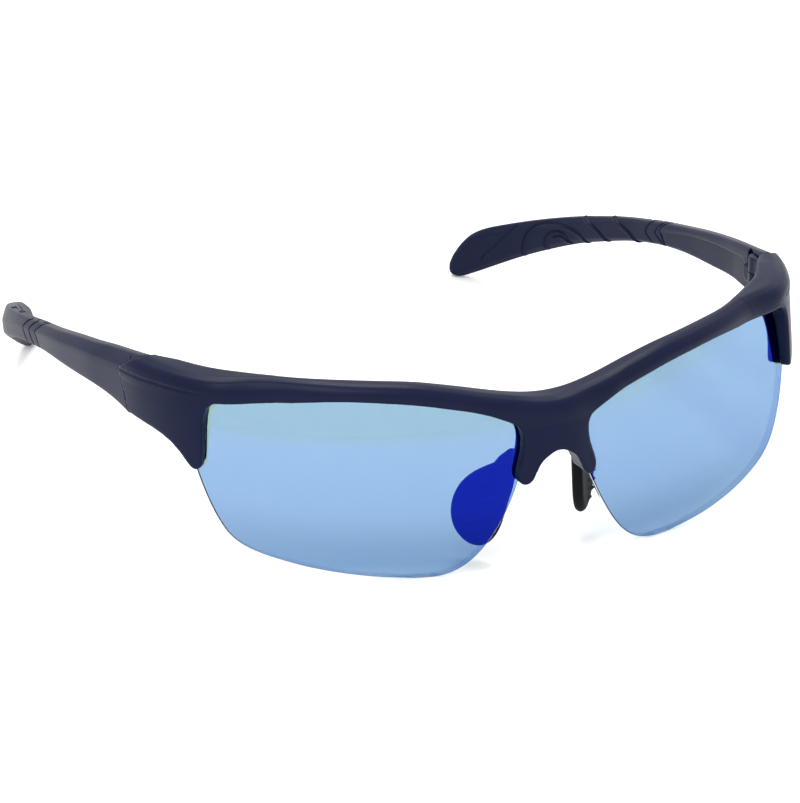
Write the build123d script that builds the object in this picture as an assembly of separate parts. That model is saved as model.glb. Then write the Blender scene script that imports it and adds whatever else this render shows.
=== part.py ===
"""Wraparound semi-rimless sport sunglasses.

Axes: +X to the wearer's left, +Y to the back (towards the ears), +Z up.
The origin is at the centre of the footprint, on the plane the glasses rest on.
All the curves below are drawn in a working frame whose y = 0 is just in front
of the nose bridge, and every part is moved by -Y_ORIGIN when it is written.
"""

import math
import os

from build123d import *

# ---------------------------------------------------------------- dimensions
Y_ORIGIN = 77.6  # working-frame y of the footprint's centre
Z_ORIGIN = 0.8  # working-frame height of the plane the glasses rest on

# lens: a thin spherical shell on each side
LENS_C = (5.2, 83.4, 14.3)  # sphere centre of the wearer's left lens
LENS_R = 79.2  # front surface
LENS_T = 1.7  # thickness
LENS_GAP = 0.05  # clearance of the lens in its groove

# front frame
FRONT_R = 81.0  # plan radius of the front's outermost curve
NOSE_BACK = 7.3  # y of the nose legs' back face at mid height

# hinge
PIVOT = (65.7, 45.6)  # working-frame x, y of the wearer's left hinge axis
KNUCKLE_R = 2.2
POCKET_R = 2.55  # clearance pocket round the knuckles
FORK_BOTTOM, TONGUE_BOTTOM, TONGUE_TOP, FORK_TOP = 28.6, 31.75, 35.15, 38.6
TONGUE_GAP = 0.08  # axial play of the tongue, each side
SCREW_R = 0.70
FORK_BORE_R = 0.71
TONGUE_BORE_R = 0.76
HEAD_R, HEAD_T, SEAT_R = 1.3, 0.8, 1.36
LIP_Y = 49.8  # front end of the temple arm's inner lip

# temple: outer ridge in plan and the heights of top edge, ridge, bottom edge
#        s      x      y      top    ridge  bottom
TEMPLE = [
    (-0.04, 69.0, 38.4, 40.5, 37.80, 26.9),
    (0.00, 69.40, 42.93, 39.75, 37.15, 27.8),
    (0.06, 69.90, 49.70, 38.50, 36.15, 28.9),
    (0.12, 70.40, 56.40, 37.30, 35.10, 29.2),
    (0.19, 70.90, 63.00, 36.00, 34.10, 29.0),
    (0.25, 71.10, 69.70, 34.70, 32.90, 28.4),
    (0.31, 71.20, 76.70, 33.20, 31.60, 27.7),
    (0.38, 71.00, 84.00, 31.60, 30.10, 26.8),
    (0.44, 70.55, 91.40, 30.00, 28.40, 25.5),
    (0.50, 69.90, 98.80, 28.20, 26.60, 23.8),
    (0.56, 68.90, 106.2, 26.40, 24.50, 21.7),
    (0.62, 67.60, 113.4, 24.40, 22.20, 19.3),
    (0.69, 65.85, 120.6, 22.30, 19.75, 16.8),
    (0.75, 63.50, 127.45, 20.10, 17.10, 13.9),
    (0.81, 60.65, 134.0, 17.80, 14.30, 10.8),
    (0.88, 57.20, 140.4, 15.30, 11.40, 7.3),
    (0.94, 53.40, 146.4, 12.70, 8.40, 3.7),
    (1.00, 49.10, 152.25, 9.80, 5.40, 0.3),
]
TEMPLE_T = [(0, 4.6), (0.3, 4.0), (0.6, 3.6), (0.85, 3.2), (1.0, 2.6)]
TEMPLE_LEAN = [(0, 2.6), (0.15, 2.0), (0.5, 1.2), (0.8, 0.9), (1.0, 0.7)]

# seam between front frame and temple arm, a V in side view: (y, z)
SEAM = [(43.2, 42.5), (43.8, 39.8), (47.3, 37.0), (45.1, 27.6), (44.8, 25.5)]
SEAM_GAP = 0.15
SPLAY_RIGHT = 0.9  # the wearer's right temple stands this much further open, degrees
# seam between temple arm and soft tip, a V in side view: (y, z)
TIP_SEAM = [(86.5, 34.5), (87.9, 31.0), (90.4, 28.7), (88.3, 26.0), (87.2, 24.0)]
TIP_GROOVES = [4.2, 8.0]  # distance of the two further V grooves behind the seam

# tang of the temple arm inside the tip
TANG_S0, TANG_S1 = 0.38, 0.66
TANG_T, TANG_H = 1.5, 3.0

# nose pad: outline in its own plane (a backwards along the splay, w upwards)
PAD_P0 = (6.5, 8.3, 20.0)
PAD_SPLAY = 38.0  # degrees from straight back
PAD_LEAN_RIGHT, PAD_LEAN_LEFT = 10.0, 1.0  # lower end outwards, degrees
PAD_T = 2.4
PAD_OUTLINE = [
    (0.9, 1.9), (3.3, 0.9), (6.4, -0.8), (9.1, -3.0), (11.2, -5.8), (11.9, -8.6), (11.8, -10.7),
    (10.9, -13.1), (9.0, -15.0), (6.8, -15.8), (4.9, -15.4), (3.0, -13.6), (1.6, -10.6), (0.8, -7.4),
    (0.1, -4.0), (-0.1, -0.6), (0.0, 1.2),
]
PAD_NECK = (1.5, 0.2)  # where the stem enters the pad
PAD_LIFT_LEFT = 2.6  # the wearer's left pad is bent higher on its stem
STEM_R = 0.55
STEM_ROOT = (6.0, 6.6, 22.6)


# ------------------------------------------------------------------- helpers
def spline(points):
    """Natural cubic spline through (t, value) pairs; linear beyond the ends."""
    t = [p[0] for p in points]
    v = [p[1] for p in points]
    n = len(t)
    m = [0.0] * n
    lo, di, up, rh = [0.0] * n, [1.0] * n, [0.0] * n, [0.0] * n
    for i in range(1, n - 1):
        h0, h1 = t[i] - t[i - 1], t[i + 1] - t[i]
        lo[i], di[i], up[i] = h0, 2 * (h0 + h1), h1
        rh[i] = 6 * ((v[i + 1] - v[i]) / h1 - (v[i] - v[i - 1]) / h0)
    for i in range(1, n):
        w = lo[i] / di[i - 1]
        di[i] -= w * up[i - 1]
        rh[i] -= w * rh[i - 1]
    for i in range(n - 2, 0, -1):
        m[i] = (rh[i] - up[i] * m[i + 1]) / di[i]

    def value(x):
        i = 0
        while i < n - 2 and x > t[i + 1]:
            i += 1
        h = t[i + 1] - t[i]
        if x < t[0]:
            slope = (v[1] - v[0]) / h - h * (2 * m[0] + m[1]) / 6
            return v[0] + slope * (x - t[0])
        if x > t[-1]:
            slope = (v[-1] - v[-2]) / h + h * (m[-2] + 2 * m[-1]) / 6
            return v[-1] + slope * (x - t[-1])
        a, b = (t[i + 1] - x) / h, (x - t[i]) / h
        return (
            a * v[i]
            + b * v[i + 1]
            + ((a**3 - a) * m[i] + (b**3 - b) * m[i + 1]) * h * h / 6
        )

    return value


def linear(points):
    """Straight lines through (t, value) pairs, flat beyond the ends."""

    def value(x):
        if x <= points[0][0]:
            return points[0][1]
        for (t0, v0), (t1, v1) in zip(points, points[1:]):
            if x <= t1:
                return v0 + (v1 - v0) * (x - t0) / (t1 - t0)
        return points[-1][1]

    return value


def loft_sections(sections):
    """A closed solid through polygons given as lists of 3-D points."""
    wires = [Wire.make_polygon([Vector(*p) for p in s], close=True) for s in sections]
    return Solid.make_loft(wires)


def prism(points, plane, depth, back=0.0):
    """Extrude a closed outline of plane coordinates along the plane's normal."""
    face = make_face(Polyline(*[plane.from_local_coords(Vector(a, b, -back)) for a, b in points], close=True))
    return extrude(face, amount=depth + back, dir=plane.z_dir)


def smooth_prism(points, plane, depth, back=0.0):
    """As prism, with a smooth closed curve through the points."""
    curve = Spline(*[plane.from_local_coords(Vector(a, b, -back)) for a, b in points], periodic=True)
    return extrude(make_face(curve), amount=depth + back, dir=plane.z_dir)


def solid_of(shape):
    """The largest solid of a boolean result."""
    return max(shape.solids(), key=lambda s: s.volume)


def box(x0, x1, y0, y1, z0, z1):
    return Pos((x0 + x1) / 2, (y0 + y1) / 2, (z0 + z1) / 2) * Box(x1 - x0, y1 - y0, z1 - z0)


def rod(x, y, z0, z1, r):
    return Pos(x, y, (z0 + z1) / 2) * Cylinder(r, z1 - z0)


def ball(c, r):
    return Pos(*c) * Sphere(r)


FRONT_PLANE = Plane(origin=(0, 0, 0), x_dir=(1, 0, 0), z_dir=(0, -1, 0))  # x, z; normal -Y


# ----------------------------------------------------------- front's plan curve
ARC_END = 42.0
_side = [
    (59.4, 23.2), (61.55, 25.25), (63.6, 27.6), (65.75, 31.0), (67.4, 35.0),
    (68.55, 39.0), (69.35, 43.0), (69.75, 46.0), (70.1, 49.5),
]


def _plan_table():
    rows = []
    for k in range(-2, 3):
        rows.append((k * 2.6, k * 2.6, 2.4))
    phi = 0.0
    for k in range(1, 15):
        phi = math.radians(ARC_END) * k / 14
        rows.append((5.2 + FRONT_R * phi, 5.2 + FRONT_R * math.sin(phi), 83.4 - FRONT_R * math.cos(phi)))
    u = rows[-1][0]
    for (x0, y0), (x1, y1) in zip(_side, _side[1:]):
        u += math.hypot(x1 - x0, y1 - y0)
        rows.append((u, x1, y1))
    return rows


_rows = _plan_table()
plan_x = spline([(r[0], r[1]) for r in _rows])
plan_y = spline([(r[0], r[2]) for r in _rows])


def front_point(u, d, z):
    """Point at arc length u, depth d inwards from the plan curve, height z."""
    e = 0.05
    tx, ty = plan_x(u + e) - plan_x(u - e), plan_y(u + e) - plan_y(u - e)
    n = math.hypot(tx, ty)
    tx, ty = tx / n, ty / n
    return (plan_x(u) - ty * d, plan_y(u) + tx * d, z)


# ------------------------------------------------------------------ brow band
#        u     front lower edge   top back edge
#              d_l   z_l          d_b   z_b
BROW = [
    (0.0, 0.0, 31.2, 6.5, 34.6),
    (2.6, 0.15, 31.2, 6.5, 34.7),
    (5.2, 0.75, 31.2, 6.7, 35.0),
    (9.0, 1.5, 31.6, 7.1, 35.6),
    (13.0, 2.0, 33.1, 7.6, 36.3),
    (17.0, 2.6, 34.05, 8.0, 37.05),
    (21.5, 3.0, 34.95, 8.1, 37.9),
    (27.0, 3.3, 35.9, 8.0, 38.8),
    (34.0, 3.5, 36.6, 8.0, 39.3),
    (42.0, 3.7, 36.9, 8.1, 39.55),
    (50.0, 4.0, 36.4, 7.9, 39.75),
    (57.0, 4.0, 35.7, 8.6, 39.75),
    (62.0, 2.9, 35.3, 9.2, 39.7),
    (66.5, 1.7, 35.3, 9.3, 39.7),
    (70.5, 1.45, 35.3, 9.0, 39.75),
    (75.0, 1.15, 35.3, 8.7, 39.8),
    (79.5, 0.8, 35.0, 7.8, 39.85),
    (84.0, 0.35, 34.8, 6.0, 39.85),
    (87.5, 0.1, 34.6, 4.5, 39.75),
    (91.5, 0.0, 34.4, 4.4, 39.4),
]


def brow_section(u, d_l, z_l, d_b, z_b):
    h = z_b - z_l
    crease = min(max((u - 62.0) / 12.0, 0.0), 1.0)  # side panels have a ridge line
    outline = [
        (d_l, z_l),
        (d_l + 0.05, z_l + (0.30 + 0.18 * crease) * h),
        (d_l + 0.8 + 0.1 * crease, z_l + 0.70 * h),
        (d_l + 2.3, z_b + 0.15),
        (d_b - 0.7, z_b + 0.1),
        (d_b, z_b - 0.5),
        (d_b, z_l - 0.2),
        (d_b - 0.7, z_l - 0.7),
        (d_l + 0.9, z_l - 0.25),
    ]
    return [front_point(u, d, z) for d, z in outline]


brow = loft_sections([brow_section(*row) for row in BROW])

# ---------------------------------------------------------------- side panel
# plate under the band, cut to the outline of the outer leg
PANEL = [  # u, outer d at z 20, 29, 37.3, inner d at 20, 37.3
    (60.0, 0.3, 0.7, 1.9, 4.9, 7.2),
    (66.0, 0.1, 0.6, 1.7, 4.8, 7.2),
    (70.5, 0.0, 0.55, 1.5, 4.7, 7.0),
    (75.0, 0.1, 0.55, 1.15, 4.6, 6.6),
    (79.5, 0.35, 0.5, 0.8, 4.6, 6.0),
    (84.0, 0.6, 0.45, 0.35, 4.6, 5.4),
    (88.0, 0.7, 0.4, 0.05, 4.6, 4.6),
    (91.5, 0.7, 0.4, 0.0, 4.6, 4.5),
]


def panel_section(u, a, b, c, e, f):
    pts = [(a, 19.0), (b, 29.0), (c, 37.2), (f, 37.2), (e, 19.0)]
    return [front_point(u, d, z) for d, z in pts]


panel = loft_sections([panel_section(*row) for row in PANEL])
LEG_PLANE = Plane(origin=(63.0, 27.0, 0), x_dir=(0.66, 0.751, 0), z_dir=(0.751, -0.66, 0))
LEG_OUTLINE = [
    (24.0, 37.6), (24.0, 28.2), (17.0, 28.0), (13.9, 27.85), (11.0, 27.6), (8.4, 27.1),
    (5.9, 26.2), (3.7, 24.7), (2.3, 23.3), (1.3, 22.4), (0.6, 22.15), (-0.05, 22.35),
    (-0.4, 22.9), (-0.5, 24.0), (-0.45, 28.0), (-0.3, 31.0), (-0.45, 32.6), (-0.9, 33.8),
    (-1.7, 34.8), (-2.8, 35.4), (-4.5, 35.65), (-4.5, 37.6),
]
leg_cut = prism(LEG_OUTLINE, LEG_PLANE, 8.0, back=16.0)
panel = solid_of(panel & leg_cut)

# ------------------------------------------------------------ nose bridge + leg
NOSE_OUTLINE = [
    (0.0, 25.5), (0.8, 25.35), (1.5, 25.0), (2.1, 24.62), (2.8, 24.2), (3.5, 23.65), (4.0, 23.1),
    (4.4, 22.4), (4.7, 21.6), (4.96, 20.9), (5.25, 20.1), (5.65, 19.4), (6.15, 18.95), (6.6, 18.75),
    (7.15, 18.8), (7.6, 19.2), (7.9, 20.0), (7.89, 21.0), (7.65, 21.9), (7.38, 22.8), (7.1, 23.65),
    (6.82, 24.5), (6.65, 25.5), (6.53, 26.4), (6.5, 27.3), (6.6, 28.3), (6.93, 29.2), (7.45, 29.95),
    (8.2, 30.7), (9.0, 31.35), (10.0, 31.95), (11.2, 32.45), (12.5, 32.95), (12.5, 34.2),
    (9.0, 33.6), (0.0, 33.2),
]
NOSE_PLAN = [(0.0, 1.0), (2.5, 1.15), (4.5, 1.55), (6.2, 2.1), (7.8, 2.5), (10.0, 2.65), (13.0, 2.8)]


def nose_section(z):
    """Horizontal slice of the block the bridge and its legs are cut from."""
    lean = ((z - 14.3) ** 2 - 7.7**2) / 162.0
    front = [(x, y + lean, z) for x, y in NOSE_PLAN]
    back = lean * 0.9 + NOSE_BACK
    return front + [(13.0, back + 0.9, z), (6.0, back + 0.1, z), (0.0, back - 0.2, z)]


nose_block = loft_sections([nose_section(z) for z in (17.0, 21.0, 25.0, 29.0, 33.0, 36.0)])
nose = prism(NOSE_OUTLINE, FRONT_PLANE, 4.0, back=20.0)
nose = solid_of(nose & nose_block)

# ------------------------------------------------------------------- one lens
LENS_OUTLINE = [
    (8.2, 32.4), (6.7, 31.0), (5.9, 29.3), (5.6, 27.2), (5.75, 25.0), (6.25, 22.6), (6.95, 20.2),
    (7.8, 17.5), (8.9, 14.8), (10.1, 12.3), (11.5, 9.8), (13.0, 7.4), (14.7, 5.2), (16.5, 3.45),
    (18.4, 2.1), (20.4, 1.25), (22.4, 0.85), (23.6, 0.8),
]
LENS_OUTLINE_2 = [
    (27.0, 0.8), (30.0, 1.05), (33.1, 1.35), (37.2, 1.85), (41.3, 2.55), (45.3, 3.4), (49.2, 4.5),
    (53.0, 5.8), (55.6, 7.2), (57.5, 9.0), (59.1, 11.7), (60.6, 15.5), (61.7, 19.3),
    (62.7, 22.2), (63.4, 24.5), (63.6, 28.0), (63.65, 31.0), (63.1, 33.6), (61.8, 35.4),
    (59.6, 36.2), (56.0, 36.7),
]
LENS_TOP = [
    (50.0, 37.3), (44.0, 37.75), (38.0, 37.75), (32.0, 37.5), (26.0, 36.7), (20.0, 35.5), (15.0, 34.4),
    (11.0, 33.4),
]


def lens_solid(grow):
    """Lens, or with grow > 0 the tool that cuts its groove."""
    ox = 35.0
    oz = 20.0

    def g(p):
        if not grow:
            return p
        dx, dz = p[0] - ox, p[1] - oz
        r = math.hypot(dx, dz)
        return (p[0] + grow * dx / r, p[1] + grow * dz / r)

    a = [FRONT_PLANE.from_local_coords(Vector(*g(p), -60)) for p in LENS_OUTLINE]
    b = [FRONT_PLANE.from_local_coords(Vector(*g(p), -60)) for p in LENS_OUTLINE_2]
    c = [FRONT_PLANE.from_local_coords(Vector(*g(p), -60)) for p in LENS_TOP]
    edge1 = Spline(*a)
    edge2 = Line(a[-1], b[0])
    edge3 = Spline(*(b + c + [a[0]]))
    tool = extrude(make_face([edge1, edge2, edge3]), amount=66, dir=(0, -1, 0))
    shell = ball(LENS_C, LENS_R + grow) - ball(LENS_C, LENS_R - LENS_T - grow)
    return solid_of(tool & shell)


lens_left = lens_solid(0.0)
groove = lens_solid(LENS_GAP)

# -------------------------------------------------------------- hinge, frame side
px, py = PIVOT
seam_frame = prism(
    [(y, z) for y, z in SEAM] + [(20.0, 25.5), (20.0, 42.5)],
    Plane(origin=(50, 0, 0), x_dir=(0, 1, 0), z_dir=(1, 0, 0)), 30.0,
)
half = brow + panel + nose
half = solid_of(half)
# trim the rear end to the seam, with the inner side kept clear of the folding arm
rear = box(60, 75, 41.0, 60, 20, 45)
half = half - (rear - seam_frame)
half = half - (box(60, px + 1.2, py - 1.9, 60, 20, 45))
half = half - rod(px, py, 20, 45, POCKET_R)
# fork knuckles and their webs
fork = rod(px, py, FORK_BOTTOM, FORK_TOP, KNUCKLE_R)
fork = fork + box(px - 2.0, px + 2.2, py - 4.4, py, FORK_BOTTOM, FORK_TOP)
fork = fork - rod(px, py, TONGUE_BOTTOM, TONGUE_TOP, POCKET_R)
fork = fork - box(px - 6, px + 0.2, py - 2.2, py + 4, TONGUE_BOTTOM, TONGUE_TOP)
half = half + fork
half = half - rod(px, py, TONGUE_BOTTOM, TONGUE_TOP, POCKET_R)
half = half - rod(px, py, FORK_BOTTOM - 2, TONGUE_TOP + 2.0, FORK_BORE_R)
half = half - rod(px, py, FORK_BOTTOM - 2, FORK_BOTTOM + HEAD_T + 0.1, SEAT_R)
half = half - groove

# nose pad and the stem that carries it
_sp = math.radians(PAD_SPLAY)
PAD_D = (math.sin(_sp), math.cos(_sp), 0.0)
stem_a = Vector(*STEM_ROOT)


def pad_and_core(lift, lean):
    """Nose pad and its bendable metal core, on the wearer's left."""
    ln = math.radians(lean)
    normal = (math.cos(_sp) * math.cos(ln), -math.sin(_sp) * math.cos(ln), math.sin(ln))
    plane = Plane(origin=(PAD_P0[0], PAD_P0[1], PAD_P0[2] + lift), x_dir=PAD_D, z_dir=normal)
    ca = sum(p[0] for p in PAD_OUTLINE) / len(PAD_OUTLINE)
    cw = sum(p[1] for p in PAD_OUTLINE) / len(PAD_OUTLINE)
    rims = []
    for height, inset in ((-0.5, 1.1), (-0.36, 0.45), (-0.12, 0.0), (0.12, 0.0), (0.36, 0.45), (0.5, 1.1)):
        rim = []
        for a, w in PAD_OUTLINE:
            r = math.hypot(a - ca, w - cw)
            rim.append(plane.from_local_coords(
                Vector(a - inset * (a - ca) / r, w - inset * (w - cw) / r, height * PAD_T)))
        rims.append(Wire([Edge.make_spline(rim, periodic=True)]))
    blade = Solid.make_loft(rims)
    stem_b = plane.from_local_coords(Vector(PAD_NECK[0], PAD_NECK[1], 0))
    direction = (stem_b - stem_a).normalized()
    length = (stem_b - stem_a).length
    core_plane = Plane(origin=stem_a, z_dir=direction)
    core = core_plane * Pos(0, 0, (length + 1.6) / 2) * Cylinder(STEM_R, length + 1.6)
    neck = core_plane * Pos(0, 0, length / 2) * Cylinder(1.15, length)
    return solid_of(blade + neck), solid_of(core)


pad_left, core_left = pad_and_core(PAD_LIFT_LEFT, PAD_LEAN_LEFT)
pad_right, core_right = pad_and_core(0.0, PAD_LEAN_RIGHT)
pad_left = solid_of(pad_left - half - core_left)
pad_right = solid_of(pad_right - half - core_right)
half_left = solid_of(half - core_left)
half_right = solid_of(half - core_right)

mirror_plane = Plane.YZ
front_frame = solid_of(half_left + mirror(half_right, about=mirror_plane))

# ---------------------------------------------------------------------- screw
screw = rod(px, py, FORK_BOTTOM + HEAD_T, TONGUE_TOP + 1.9, SCREW_R)
screw = screw + rod(px, py, FORK_BOTTOM + 0.05, FORK_BOTTOM + HEAD_T + 0.05, HEAD_R)
screw = screw - box(px - 2, px + 2, py - 0.2, py + 0.2, FORK_BOTTOM - 1, FORK_BOTTOM + 0.4)
screw = solid_of(screw)

# --------------------------------------------------------------------- temple
tx_s = spline([(r[0], r[1]) for r in TEMPLE])
ty_s = spline([(r[0], r[2]) for r in TEMPLE])
tt_s = spline([(r[0], r[3]) for r in TEMPLE])
tr_s = spline([(r[0], r[4]) for r in TEMPLE])
tb_s = spline([(r[0], r[5]) for r in TEMPLE])
thick_s = spline(TEMPLE_T)
lean_s = spline(TEMPLE_LEAN)


def temple_point(s, d, z):
    e = 0.002
    dx, dy = tx_s(s + e) - tx_s(s - e), ty_s(s + e) - ty_s(s - e)
    n = math.hypot(dx, dy)
    return (tx_s(s) - dy / n * d, ty_s(s) + dx / n * d, z)


def temple_section(s, shrink=1.0):
    t, lean = thick_s(max(s, 0.0)), lean_s(max(s, 0.0))
    top, ridge, bottom = tt_s(s), tr_s(s), tb_s(s)
    outline = [
        (0.0, ridge), (0.55 * lean, ridge + 0.62 * (top - ridge)), (lean, top - 0.12), (t - 0.7, top),
        (t, top - 0.6), (t + 0.05, (top + bottom) / 2), (t, bottom + 0.7), (t - 0.7, bottom + 0.02),
        (1.0, bottom), (0.4, bottom + 0.55),
    ]
    if shrink != 1.0:
        cd, cz = t / 2, bottom + (top - bottom) * 0.18
        outline = [(cd + (d - cd) * (0.35 + 0.65 * shrink), cz + (z - cz) * shrink) for d, z in outline]
    return [temple_point(s, d, z) for d, z in outline]


ARM_S = [-0.03, 0.0, 0.04, 0.09, 0.15, 0.22, 0.29, 0.36, 0.42, 0.46]
TIP_S = [0.36, 0.41, 0.46, 0.52, 0.58, 0.64, 0.70, 0.76, 0.82, 0.88, 0.92]
arm_full = loft_sections([temple_section(s) for s in ARM_S])
tip_full = loft_sections(
    [temple_section(s) for s in TIP_S]
    + [temple_section(0.95, 0.97), temple_section(0.975, 0.87), temple_section(0.99, 0.70),
       temple_section(0.997, 0.45)]
)

SIDE_PLANE = Plane(origin=(40, 0, 0), x_dir=(0, 1, 0), z_dir=(1, 0, 0))  # y, z; normal +X


def shifted(points, dy):
    return [(y + dy, z) for y, z in points]


# front end of the arm: seam, hinge pocket, tongue
arm_front = prism(shifted(SEAM, SEAM_GAP) + [(20.0, 25.5), (20.0, 42.5)], SIDE_PLANE, 50.0)
arm = arm_full - arm_front
arm = arm - box(60, px + 0.9, 30, LIP_Y, 20, 45)
arm = arm - rod(px, py, 20, 45, POCKET_R)
arm = arm - box(60, px + 2.4, 30, py + 0.5, 20, 45)
arm = solid_of(arm)
tongue = rod(px, py, TONGUE_BOTTOM + TONGUE_GAP, TONGUE_TOP - TONGUE_GAP, KNUCKLE_R)
tongue = tongue + box(px - 0.8, px + 1.7, py, LIP_Y + 1.0, TONGUE_BOTTOM + TONGUE_GAP, TONGUE_TOP - TONGUE_GAP)
arm = solid_of(arm + tongue)
arm = arm - rod(px, py, 20, 45, TONGUE_BORE_R)
# long recessed channel on the inner face
channel_plane = Plane(origin=(px - 10, 0, 0), x_dir=(0, 1, 0), z_dir=(1, 0, 0))
CHANNEL = [
    (52.6, 36.2), (54.5, 36.35), (60.0, 35.35), (68.0, 33.75), (76.0, 32.1), (83.0, 30.5),
    (83.6, 29.6), (82.6, 28.6), (76.0, 29.5), (68.0, 30.4), (60.0, 31.0), (54.0, 31.0),
    (52.0, 32.0), (51.8, 34.6),
]
channel_tool = prism(CHANNEL, channel_plane, 40.0)
inner_skin = loft_sections(
    [
        [temple_point(s, thick_s(s) - 0.9, 45), temple_point(s, thick_s(s) + 6, 45),
         temple_point(s, thick_s(s) + 6, 15), temple_point(s, thick_s(s) - 0.9, 15)]
        for s in (0.02, 0.1, 0.2, 0.3, 0.4, 0.46)
    ]
)
arm = arm - (channel_tool & inner_skin)

# split between arm and tip
tip_tool = prism(TIP_SEAM + [(140.0, 24.0), (140.0, 34.5)], SIDE_PLANE, 50.0)
arm = solid_of(arm - tip_tool)
keep = prism(TIP_SEAM + [(200.0, -20.0), (200.0, 34.5)], SIDE_PLANE, 50.0)
keep = keep + box(20, 90, 92.0, 200, -20, 45)
tip = solid_of(tip_full & keep)
tip = solid_of(tip - box(0, 90, 80, 200, -20, Z_ORIGIN))  # small flat it rests on
# tang
tang_sections = []
for k in range(9):
    s = TANG_S0 + (TANG_S1 - TANG_S0) * k / 8
    mid = (tt_s(s) + tb_s(s)) / 2
    d0 = thick_s(s) / 2 - TANG_T / 2 + 0.1
    hh = TANG_H / 2
    tang_sections.append(
        [temple_point(s, d0, mid - hh), temple_point(s, d0, mid + hh),
         temple_point(s, d0 + TANG_T, mid + hh), temple_point(s, d0 + TANG_T, mid - hh)]
    )
tang = loft_sections(tang_sections)
tip = solid_of(tip - tang)
arm = solid_of(arm + (tang & keep))
# two more V grooves behind the seam, on the outer face
groove_cut = None
for step in TIP_GROOVES:
    zz = [(y + step, z - 0.22 * step) for y, z in TIP_SEAM[1:4]]
    strip = zz + [(y + 0.45, z) for y, z in reversed(zz)]
    piece = prism(strip, SIDE_PLANE, 50.0)
    groove_cut = piece if groove_cut is None else groove_cut + piece
outer_skin = loft_sections(
    [
        [temple_point(s, 0.25, 45), temple_point(s, -4, 45), temple_point(s, -4, 10), temple_point(s, 0.25, 10)]
        for s in (0.38, 0.44, 0.5, 0.56)
    ]
)
tip = solid_of(tip - (groove_cut & outer_skin))

# ---------------------------------------------------------------------- write
shift = Pos(0, -Y_ORIGIN, -Z_ORIGIN)


def both(name, left, right=None):
    nodes[name + "_left"] = left
    nodes[name + "_right"] = mirror(right if right is not None else left, about=mirror_plane)
    if name.startswith("temple"):
        hinge = Axis((-px, py, 0), (0, 0, 1))
        nodes[name + "_right"] = nodes[name + "_right"].rotate(hinge, SPLAY_RIGHT)


nodes = {"front_frame": front_frame}
both("lens", lens_left)
both("nose_pad", pad_left, pad_right)
both("nose_pad_core", core_left, core_right)
both("temple_arm", arm)
both("temple_tip", tip)
both("hinge_screw", screw)

os.makedirs("parts", exist_ok=True)
for name, shape in nodes.items():
    out = shift * solid_of(shape)
    export_step(out, os.path.join("parts", name + ".step"))
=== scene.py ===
"""Looks of the wraparound sport sunglasses. Everything is in metres, in the row frame."""

import math

import bpy
import numpy as np
from mathutils import Matrix, Vector


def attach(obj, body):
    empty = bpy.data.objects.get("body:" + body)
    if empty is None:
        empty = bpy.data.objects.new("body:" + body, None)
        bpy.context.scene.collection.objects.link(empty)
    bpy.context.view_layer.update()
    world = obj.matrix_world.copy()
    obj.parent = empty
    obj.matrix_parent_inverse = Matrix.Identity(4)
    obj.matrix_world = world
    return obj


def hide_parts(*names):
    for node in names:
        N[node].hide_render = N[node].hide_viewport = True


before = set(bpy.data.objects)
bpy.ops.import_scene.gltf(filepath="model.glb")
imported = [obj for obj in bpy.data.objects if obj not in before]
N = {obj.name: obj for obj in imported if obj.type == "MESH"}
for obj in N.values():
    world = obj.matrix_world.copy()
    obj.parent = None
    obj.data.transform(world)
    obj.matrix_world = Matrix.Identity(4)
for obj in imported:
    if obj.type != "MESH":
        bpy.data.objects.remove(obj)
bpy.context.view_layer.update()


# ------------------------------------------------------- curves, in millimetres
def cubic(points):
    """Natural cubic spline through (t, value) pairs, straight beyond the ends."""
    t = np.array([p[0] for p in points], float)
    v = np.array([p[1] for p in points], float)
    n = len(t)
    a, r = np.zeros((n, n)), np.zeros(n)
    a[0, 0] = a[-1, -1] = 1.0
    for i in range(1, n - 1):
        h0, h1 = t[i] - t[i - 1], t[i + 1] - t[i]
        a[i, i - 1], a[i, i], a[i, i + 1] = h0, 2 * (h0 + h1), h1
        r[i] = 6 * ((v[i + 1] - v[i]) / h1 - (v[i] - v[i - 1]) / h0)
    m = np.linalg.solve(a, r)
    h0, h1 = t[1] - t[0], t[-1] - t[-2]
    s0 = (v[1] - v[0]) / h0 - h0 * (2 * m[0] + m[1]) / 6
    s1 = (v[-1] - v[-2]) / h1 + h1 * (m[-2] + 2 * m[-1]) / 6

    def value(x):
        x = np.asarray(x, float)
        c = np.clip(x, t[0], t[-1])
        i = np.clip(np.searchsorted(t, c, side="right") - 1, 0, n - 2)
        h = t[i + 1] - t[i]
        p, q = (t[i + 1] - c) / h, (c - t[i]) / h
        y = p * v[i] + q * v[i + 1] + ((p**3 - p) * m[i] + (q**3 - q) * m[i + 1]) * h * h / 6
        return y + s0 * np.minimum(x - t[0], 0) + s1 * np.maximum(x - t[-1], 0)

    return value


def through(points, n):
    """A smooth open curve through plane points, n steps in all."""
    p = np.array(points, float)
    c = np.concatenate([[0], np.cumsum(np.hypot(*np.diff(p, axis=0).T))])
    fx, fy = cubic(list(zip(c, p[:, 0]))), cubic(list(zip(c, p[:, 1])))
    s = np.linspace(0, c[-1], n + 1)
    return np.stack([fx(s), fy(s)], 1)


def chaikin(points, times):
    """Corner-cutting of a closed outline."""
    p = np.array(points, float)
    for _ in range(times):
        q = np.roll(p, -1, 0)
        p = np.stack([0.75 * p + 0.25 * q, 0.25 * p + 0.75 * q], 1).reshape(-1, 2)
    return p


def blunted(points, r):
    """Each corner of a closed outline cut back by r along both its sides."""
    p = np.array(points, float)
    out = []
    for a, b, c in zip(np.roll(p, 1, 0), p, np.roll(p, -1, 0)):
        for other in (a, c):
            d = other - b
            length = math.hypot(*d)
            out.append(b + d / length * min(r, 0.45 * length))
    return np.array(out)


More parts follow.
